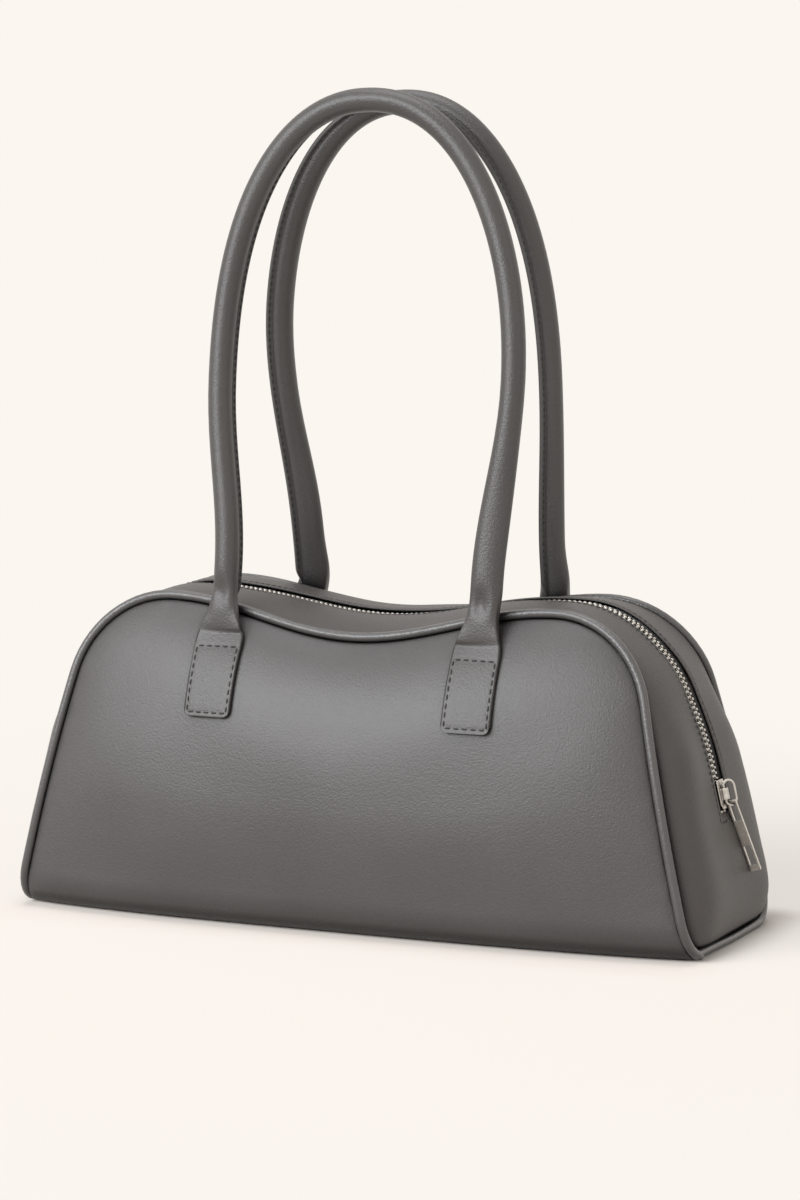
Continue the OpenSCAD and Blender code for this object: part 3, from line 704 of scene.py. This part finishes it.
def fabric(name, dark, pale, spacing, roughness):
    """Plain weave: threads one over one at a real spacing, which gives a fine matt grid."""
    made, tree, cloth, place = surface(name)
    threads = {"Vector": place, "Scale": 1 / spacing / 20, "Distortion": 0.4, "Detail": 1.0}
    warp = add(tree, "TexWave", threads, bands_direction="X").outputs["Fac"]
    weft = add(tree, "TexWave", threads, bands_direction="Z").outputs["Fac"]
    woven = times(tree, warp, weft)
    rise = add(tree, "Bump", {"Height": woven, "Strength": 0.6, "Distance": 0.0001})
    fill(tree, cloth, {"Base Color": toned(tree, woven, (0.1, dark), (0.8, pale)),
                       "Normal": rise.outputs[0], "Roughness": roughness,
                       "Sheen Weight": 0.2})
    return made


def cellular(name, dark, pale, size, roughness):
    """Foam or pressed fibre: small irregular cells that break up the light."""
    made, tree, body, place = surface(name)
    cells = add(tree, "TexVoronoi", {"Vector": place, "Scale": 1 / size}).outputs["Distance"]
    rise = add(tree, "Bump", {"Height": cells, "Strength": 0.5, "Distance": 0.0003})
    fill(tree, body, {"Base Color": toned(tree, cells, (0.1, dark), (0.7, pale)),
                      "Normal": rise.outputs[0], "Roughness": roughness})
    return made


lining_cloth = fabric("woven_polyester_lining", "#1b1b1d", "#2c2c2f", 0.0005, 0.7)
foam = cellular("open_cell_foam", "#cfcac0", "#ece9e1", 0.0015, 0.95)
board = cellular("pressed_fibre_board", "#4a4540", "#5f5952", 0.0008, 0.85)
for node in ("foam_front", "foam_back"):
    softened(node, node.replace("foam", "foam_pad"), foam, "bag")
for node in ("lining_front", "lining_back", "lining_gusset", "lining_base"):
    softened(node, node + "_cloth", lining_cloth, "bag")
softened("base_board", "stiffening_board", board, "bag", 0.3)

# --- Zip tapes ----------------------------------------------------------------------
# Black woven polyester tapes, sewn under the turned edges of the slot. They show as a
# dark strip between the teeth and the leather.

tape_cloth = fabric("woven_zip_tape", "#040404", "#111010", 0.0006, 0.9)
for node in ("zip_tape_front", "zip_tape_rear"):
    softened(node, node + "_cloth", tape_cloth, "bag")

# --- Teeth and stops ----------------------------------------------------------------
# Die-cast nickel-plated teeth pressed on the edges of the tapes, front and rear in turn.
# Two stops lie below the slider and one at the far end. Tumbled, so every edge is soft.


def plated(name, dark, pale, roughness, metallic):
    """Nickel plate: polishing haze in patches about 3 mm wide, and hairline scratches."""
    made, tree, plate, place = surface(name)
    haze = add(tree, "TexNoise", {"Vector": place, "Scale": 1 / 0.003, "Detail": 4.0})
    tone = toned(tree, haze.outputs[0], (0.3, dark), (0.7, pale))
    # painted shade in the gaps, within 2 mm of a neighbour
    tone = shaded(tree, tone, painted_crevice_shade(tree, 0.002, 0.3, 0.9, 0.05))
    gloss = remap(tree, haze.outputs[0], 0.0, 1.0, roughness - 0.06, roughness + 0.06)
    scratch = add(tree, "TexNoise", {"Vector": place, "Scale": 1 / 0.0008, "Detail": 2.0,
                                     "Distortion": 1.5})
    rub = add(tree, "Bump", {"Height": scratch.outputs[0], "Strength": 0.1,
                             "Distance": 0.00005})
    fill(tree, plate, {"Base Color": tone, "Normal": rub.outputs[0], "Roughness": gloss,
                       "Metallic": metallic})
    return made


nickel = plated("polished_nickel_plate", "#b9b4ad", "#d3cfc9", 0.23, 1.0)
# the pull and its ring are duller, tumbled rather than polished
satin_nickel = plated("satin_nickel_plate", "#d0cbc2", "#e6e1d9", 0.34, 0.6)

slider_z, slider_l = 68, 13.5
tape_t, tape_gap = 0.6, 0.5
tooth_pitch, tooth_t, tooth_h, tooth_back, tooth_nose = 2.5, 1.1, 2.4, 2.8, 0.75
stop_inset, stop_l, stop_gap = 5, 2.2, 0.3
chain_depth = leather_t + tape_gap + tape_t / 2


def zip_q(z):
    """Distance along the outline at which the chain of teeth has height z."""
    return end_q(z - (end_full - chain_depth) * math.sin(end_lean), 0)


chain_end = zip_q(slot_end_z + end_full * math.sin(end_lean))
chain_n = math.ceil(chain_end)
chain = [gusset_point(mix(-chain_end, chain_end, k / chain_n), 0, chain_depth)
         for k in range(chain_n + 1)]
chain_s = [0.0]
for a, b in zip(chain, chain[1:]):
    chain_s.append(chain_s[-1] + (b - a).length)


def chain_at(s):
    """The point of the chain at a distance from its far end."""
    k = 0
    while k < chain_n - 1 and chain_s[k + 1] < s:
        k += 1
    return chain[k].lerp(chain[k + 1], (s - chain_s[k]) / (chain_s[k + 1] - chain_s[k]))


def slider_place():
    """How far along the chain the slider's middle is."""
    q = zip_q(slider_z)
    k = (q + chain_end) / (2 * chain_end) * chain_n
    return mix(chain_s[int(k)], chain_s[int(k) + 1], k - int(k))


# the far stop near the slot's end, then the first tooth; the last one reaches the slider
first_tooth = stop_inset + stop_l + tooth_t / 2 + stop_gap
last_tooth = slider_place() - slider_l / 2 + 0.6
# a leg that grips the tape, a raised head, and a lower nose that meets its neighbours
tooth_parts = ((-tooth_back, -1.7, 1.3, tooth_h * 0.7), (-1.95, -0.3, 1.35, tooth_h + 0.1),
               (-0.5, tooth_nose - 0.1, 1.0, tooth_h * 0.45))
for node, side, start in (("zip_teeth_front", 1, first_tooth),
                          ("zip_teeth_rear", -1, first_tooth + tooth_pitch / 2)):
    bm = bmesh.new()
    for low, high, thick, tall in tooth_parts:
        size = Matrix.Diagonal((thick, high - low, tall, 1))
        middle = Matrix.Translation((0, (low + high) / 2, 0))
        bmesh.ops.create_cube(bm, size=1, matrix=middle @ size)
    bmesh.ops.bevel(bm, geom=bm.edges[:], offset=0.3, offset_type="OFFSET", segments=1,
                    profile=0.5, affect="EDGES", clamp_overlap=True, material=-1)
    smooth(bm)
    tooth = bpy.data.meshes.new("tooth")
    bm.to_mesh(tooth)
    bm.free()
    bm = bmesh.new()
    for k in range(int((last_tooth - start) / tooth_pitch) + 1):
        s = start + k * tooth_pitch
        ahead = (chain_at(s + 0.6) - chain_at(s - 0.6)).normalized()
        up = ahead.cross(Vector((0, 1, 0)))
        turn = Matrix((ahead, Vector((0, side, 0)), up)).transposed().to_4x4()
        set_in(bm, tooth, Matrix.Translation(chain_at(s)) @ turn, side < 0)
    piece(node + "_cast", bm, [nickel], "bag", [node])
for node in ("zip_top_stops", "zip_bottom_stop"):
    softened(node, node + "_cast", nickel, "bag", 0.25)

# --- Slider, ring and pull ----------------------------------------------------------
# A cast slider with a bow on top. A wire ring goes through the bow and holds the pull, a
# flat bar with two windows. The ring and the pull have a duller plate.

softened("zip_slider", "slider_cast", nickel, "slider", 0.22)
softened("slider_ring", "ring_wire", satin_nickel, "ring")
softened("zip_pull", "pull_bar", satin_nickel, "pull", 0.14)

# --- Handles ------------------------------------------------------------------------
# Each handle is one long strip of leather. Its flat ends are stitched to the panel as
# tabs, then its sides fold back round a cord, and are sewn together in a raised edge
# behind. The cut edges are painted dark.

handle_h, tab_x, arch_z, arch_top_y, lean_from_z = 382, 65, 255, 15, 240
handle_r, flange_h, flange_t = 5.6, 2.4, 2.2
tab_w, tab_t, tab_low_z, flex_z, tab_corner_r, touch = 23.8, 2, 98, 137, 3.5, 0.1
arch_power, roll_z, leg_bow_z = 2.15, flex_z + 26, flex_z + 28
tab_top_z = flex_z - 1.4
box_x, box_low, box_high = tab_w / 2 - 1.7, tab_low_z + 1.9, tab_top_z - 6.5  # stitched box
strap_edge_r = 0.4
left_drift, right_drift = 3.6, 0.4
tab_stitch = {"pitch": 3.9, "length": 2.9, "radius": 0.48}
edge_stitch = {"pitch": 3.4, "length": 2.5, "radius": 0.36}

# points round the strap: the roll itself, then the raised edge
ring_sides, edge_n = 72, 7
roll_sides = ring_sides - edge_n
half_flange = math.asin(flange_t / 2 / handle_r)
# up one side, over two painted edges with the seam between, down the other: each point's
# share of half the edge's thickness, and of its height
raised_edge = [(-1, 0.35), (-1, 0.85), (-0.72, 1.0), (0, 0.9), (0.72, 1.0), (1, 0.85), (1, 0.35)]

# heights above the fold at which a leg's sections are drawn, close together at the twist
leg_steps = (0.6, 1.6, 2.8, 4, 5.4, 7, 8.6, 10.2, 11.8, 13.4, 15, 16.6, 18.2, 19.8, 21.4, 23,
             24.6, 26.5, 29, 32, 36, 40, 45, 50, 56, 62, 69, 76, 84, 92, 101, 109)
legs = [flex_z + d for d in leg_steps]
arch_steps = 40
tab_steps = [0, 0.012, 0.03, 0.05, 0.07] + [0.07 + 0.93 * k / 26 for k in range(1, 27)]


def panel_uw(x, z):
    """Where on the front panel x, z lies."""
    u, w = 0.5, 0.5
    for _ in range(9):
        p = panel_point(u, w)
        u, w = clamp(u * x / p.x, -1, 1), clamp(w * z / max(0.01, p.z), 0, 1)
    return u, w


def panel_spot(x, z):
    """The front panel's point and outward normal at x, z."""
    u, w = panel_uw(x, z)
    du = panel_point(u + 0.01, w) - panel_point(u - 0.01, w)
    dw = panel_point(u, w + 0.01) - panel_point(u, w - 0.01)
    return panel_point(u, w), du.cross(dw).normalized()


top_normal = panel_spot(tab_x, flex_z - 2)[1]
flex_y = panel_spot(tab_x, tab_top_z)[0].y - (touch + tab_t) * abs(top_normal.y)


def strap_half(z):
    """Half the strap's width: flat and full on the tab, narrower from its top stitches up."""
    return mix(tab_w / 2, handle_r, ease((z - box_high - 0.5) / 29))


def bulge(z):
    """The strap rounds off the panel where it leaves it."""
    return 1.4 * math.exp(-((z - flex_z - 2) / 6) ** 2)


def leg_x(z, half_w):
    return mix(tab_x, half_w, ease((z - leg_bow_z) / (arch_z - leg_bow_z)))


def lean_y(z):
    """The handle leans in over the bag as it rises."""
    t = clamp((z - flex_z) / (handle_h - flex_z), 0, 1)
    return mix(flex_y + tab_t / 2, -arch_top_y, 1 - (1 - t) ** 1.3)


def tab_low(s):
    """The tab's lower edge, with its two rounded corners, for s from -1 to 1 across it."""
    past = abs(s) * tab_w / 2 - (tab_w / 2 - tab_corner_r)
    if past <= 0:
        return tab_low_z
    return tab_low_z + (tab_corner_r - math.sqrt(max(0, tab_corner_r ** 2 - past ** 2)))


def drift(z, left):
    """The rear handle's legs lean a few millimetres to the right above their tabs."""
    most = left_drift if left else right_drift
    return most * ease((z - flex_z) / 18) * (1 - ease((z - 190) / 100))


def handle_line(half_w, shift, rear):
    """The centre line of one handle, whose top leans a little to one side."""
    half = [Vector((leg_x(z, half_w), lean_y(z), z)) for z in legs]
    for k in range(arch_steps):
        a = math.pi / 2 * k / arch_steps
        z = arch_z + (handle_h - arch_z) * math.sin(a) ** (2 / arch_power)
        half.append(Vector((half_w * math.cos(a) ** (2 / arch_power), lean_y(z), z)))
    whole = half + [Vector((0, -arch_top_y, handle_h))]
    whole += [Vector((-p.x, p.y, p.z)) for p in reversed(half)]
    line = []
    for p in whole:
        lean = shift * ease((p.z - lean_from_z) / (handle_h - lean_from_z))
        if rear:
            lean += drift(p.z, p.x > 0)
        line.append(p - Vector((lean, 0, 0)))
    return line


def strap_section(a, hw, ht):
    """A flat strap's outline by angle: its two faces, and short rounded edges."""
    a = (a + math.pi) % (2 * math.pi) - math.pi
    edge = math.radians(12)
    if abs(a) < edge:
        x, y = 1, a / edge
    elif abs(a) > math.pi - edge:
        x, y = -1, math.copysign((math.pi - abs(a)) / edge, a)
    else:
        x, y = 1 - 2 * (abs(a) - edge) / (math.pi - 2 * edge), math.copysign(1, a)
    x, y = x * hw, y * ht
    r = strap_edge_r
    past = r - (hw - abs(x))
    if past > 0:
        y = math.copysign(min(abs(y), ht - r + math.sqrt(max(0, r * r - past * past))), y)
        if abs(y) > ht - r:
            reach = math.sqrt(max(0, r * r - (abs(y) - ht + r) ** 2))
            x = math.copysign(min(abs(x), hw - r + reach), x)
    return x, y


def ring_angles(way):
    """Where a ring's points lie round the strap, from one foot of the raised edge to the other."""
    span = 2 * math.pi - 2 * half_flange
    return [way + half_flange + span * j / (roll_sides - 1) for j in range(roll_sides)]


def flange_way(x, rear):
    """Which way the raised edge faces: behind and inwards, turning a little along the handle."""
    return Vector((0.5 + 0.0038 * x, 0.815, 0)) if rear else Vector((0.42 - 0.0028 * x, 0.85, 0))


def spread(c, rear):
    """How much wider a leg is on its right than a round roll, just above the tab."""
    if c.x < 0:
        most = 0.25 if rear else 0.05
    else:
        most = 0.5 if rear else 0.75
    low = 0.35 * (1 - ease((c.z - 152) / 25)) if rear else 0
    return most * (1 - ease((c.z - 178) / 70)) + low


def handle_ring(line, k, rear):
    """The section at one point of the handle, from flat strap to roll with a raised edge."""
    c = line[k]
    if k in (0, len(line) - 1):
        along = Vector((0, 0, 1 if k == 0 else -1))
    else:
        along = (line[k + 1] - line[k - 1]).normalized()
    w = Vector((0, 1, 0)).cross(along).normalized()
    d = along.cross(w)
    rolled = ease((c.z - flex_z + 2) / (roll_z - flex_z + 2))
    hw, ht = strap_half(c.z), mix(tab_t / 2, handle_r, rolled)
    facing = flange_way(c.x, rear)
    way = math.atan2(facing.dot(d), facing.dot(w))
    wider, right = spread(c, rear), w.x * (-1 if rear else 1)
    lift = flange_h * ease((c.z - flex_z - 13) / 9)
    pts = []
    for a in ring_angles(way):
        fx, fy = strap_section(a, hw, ht)
        rx, ry = handle_r * math.cos(a), handle_r * math.sin(a) * (1 - 0.15 * wider)
        if rx * right > 0:
            rx *= 1 + wider
        p = Vector((mix(fx, rx, rolled), mix(fy, ry, rolled), 0))
        # the folded front dips in just above the tab, where the cord ends
        if p.y < 0:
            dip = math.exp(-((c.z - flex_z - 18) / 6) ** 2 - ((p.x - 0.5) / 4.2) ** 2)
            p.y += 2.6 * dip
        pts.append(p)
    foot_a, foot_b = pts[-1], pts[0]
    middle = (foot_a + foot_b) / 2
    out = Vector((math.cos(way), math.sin(way), 0))
    across = Vector((-math.sin(way), math.cos(way), 0))
    wide = min(1, (foot_b - foot_a).length / flange_t)
    for side, rise in raised_edge:
        if lift < 0.05:
            pts.append(foot_a.lerp(foot_b, (side + 1) / 2))
        else:
            pts.append(middle + across * (side * flange_t / 2) * wide + out * lift * rise)
    return [c + p.x * w + p.y * d - Vector((0, bulge(c.z), 0)) for p in pts]


def tab_ring(t, thin, mirrored, rear):
    """The flat strap on the panel, t from 0 at its lower edge to 1 below the fold."""
    facing = flange_way(-tab_x if mirrored else tab_x, rear)
    way = math.atan2(facing.y, -facing.x if mirrored else facing.x)
    foot = way - half_flange
    angles = ring_angles(way)
    angles += [foot + 2 * half_flange * (j + 1) / (edge_n + 1) for j in range(edge_n)]
    pts = []
    for a in angles:
        x, y = strap_section(a, tab_w / 2, tab_t / 2)
        if thin:
            y = 0
        s = x / (tab_w / 2)
        z = mix(tab_low(s), tab_top_z, t)
        x = s * strap_half(z)
        spot, n = panel_spot(tab_x + x, z)
        rise = touch + tab_t / 2 - y
        if y < 0 and not thin:
            # thread pulls the face down along the stitched box
            beside = abs(abs(x) - box_x) if box_low - 0.5 < z < box_high + 0.5 else 9
            across = min(abs(z - box_low), abs(z - box_high)) if abs(x) < box_x + 0.5 else 9
            rise -= 0.16 * math.exp(-(min(beside, across) / 0.5) ** 2)
        p = spot + n * rise - Vector((0, bulge(z), 0))
        pts.append(Vector((-p.x, p.y, p.z)) if mirrored else p)
    return pts


handle_leather = leather("satin_handle_leather", "#423f3f", "#484645", 0.38, 0.25)
# brushed-on acrylic, slightly lumpy over the cut fibres
edge_paint, tree, paint, place = surface("edge_paint")
lump = add(tree, "TexNoise", {"Vector": place, "Scale": 1 / 0.0015, "Detail": 2.0})
rise = add(tree, "Bump", {"Height": lump.outputs[0], "Strength": 0.3, "Distance": 0.0002})
fill(tree, paint, {"Base Color": toned(tree, lump.outputs[0], (0.3, "#262424"), (0.7, "#343131")),
                   "Normal": rise.outputs[0], "Roughness": 0.5})


def to_rear(bm):
    """Turns what was drawn in front of the bag to its back."""
    bmesh.ops.rotate(bm, verts=bm.verts, matrix=Matrix.Rotation(math.pi, 3, "Z"))


def handle(name, rear, half_w, shift):
    """One handle with its two tabs, the stitches of the tabs and those of its raised edge."""
    side = "rear" if rear else "front"
    body = side + "_handle"
    line = handle_line(half_w, shift, rear)
    rings = [handle_ring(line, k, rear) for k in range(len(line))]
    right_tab = [tab_ring(0, True, False, rear)]
    right_tab += [tab_ring(t, False, False, rear) for t in tab_steps]
    left_tab = [tab_ring(t, False, True, rear) for t in reversed(tab_steps)]
    left_tab += [tab_ring(0, True, True, rear)]
    bm = bmesh.new()
    loft(bm, right_tab + rings + left_tab, False)
    bmesh.ops.remove_doubles(bm, verts=bm.verts, dist=0.02)
    bmesh.ops.recalc_face_normals(bm, faces=bm.faces)
    smooth(bm)
    # paint on the cut edges of the tabs: along both sides, and along the lower end
    for f in bm.faces:
        c = f.calc_center_median()
        if c.z < flex_z + 3 and abs(abs(abs(c.x) - tab_x) - strap_half(c.z)) < 0.42:
            f.material_index = 1
        if c.z < tab_low_z + 0.2 and abs(f.normal.z) > 0.7:
            f.material_index = 1
    if rear:
        to_rear(bm)
    made = piece(name, bm, [handle_leather, edge_paint], None,
                 ["handle_" + side, "tab_" + side + "_left", "tab_" + side + "_right"])
    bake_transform(made)
    # stitched box on each tab
    bm = bmesh.new()
    left, right = tab_x - box_x, tab_x + box_x
    box = [(left, box_high), (left, box_low), (right, box_low), (right, box_high),
           (left, box_high)]
    for hand in (1, -1):
        for (x0, z0), (x1, z1) in zip(box, box[1:]):
            seam_line = []
            for k in range(21):
                z = mix(z0, z1, k / 20)
                spot, n = panel_spot(mix(x0, x1, k / 20), z)
                p = spot + n * (touch + tab_t - 0.08) - Vector((0, bulge(z), 0))
                seam_line.append((Vector((p.x * hand, p.y, p.z)),
                                  Vector((n.x * hand, n.y, n.z))))
            sew(bm, seam_line, **tab_stitch)
    if rear:
        to_rear(bm)
    thread_piece("tab_stitches_" + side, bm, "bag", dark_thread)
    # stitches on both faces of the raised edge: near its top, its foot, the other face
    bm = bmesh.new()
    first_k = next(k for k, p in enumerate(line) if p.z > flex_z + 20)
    for high, foot, other in ((5, 6, 1), (1, 0, 5)):
        seam_line = []
        for ring in rings[first_k:len(line) - first_k]:
            edge = ring[roll_sides:]
            seam_line.append((edge[high].lerp(edge[foot], 0.45),
                              (edge[high] - edge[other]).normalized()))
        sew(bm, seam_line, **edge_stitch)
    if rear:
        to_rear(bm)
    thread_piece("handle_stitches_" + side, bm, body, dark_thread)


handle("handle_leather_front", False, 74, 3.2)
handle("handle_leather_rear", True, 69.4, 1.4)

# the cords inside: soft cotton rope that keeps the handles round
cotton = fabric("braided_cotton_cord", "#a8a296", "#d2ccc0", 0.0012, 0.9)
for side in ("front", "rear"):
    core = softened("handle_cord_" + side, "handle_core_" + side, cotton,
                    side + "_handle")
    if side == "rear":
        for v in core.data.vertices:
            v.co.x += drift(v.co.z * 1000, v.co.x < 0) / 1000
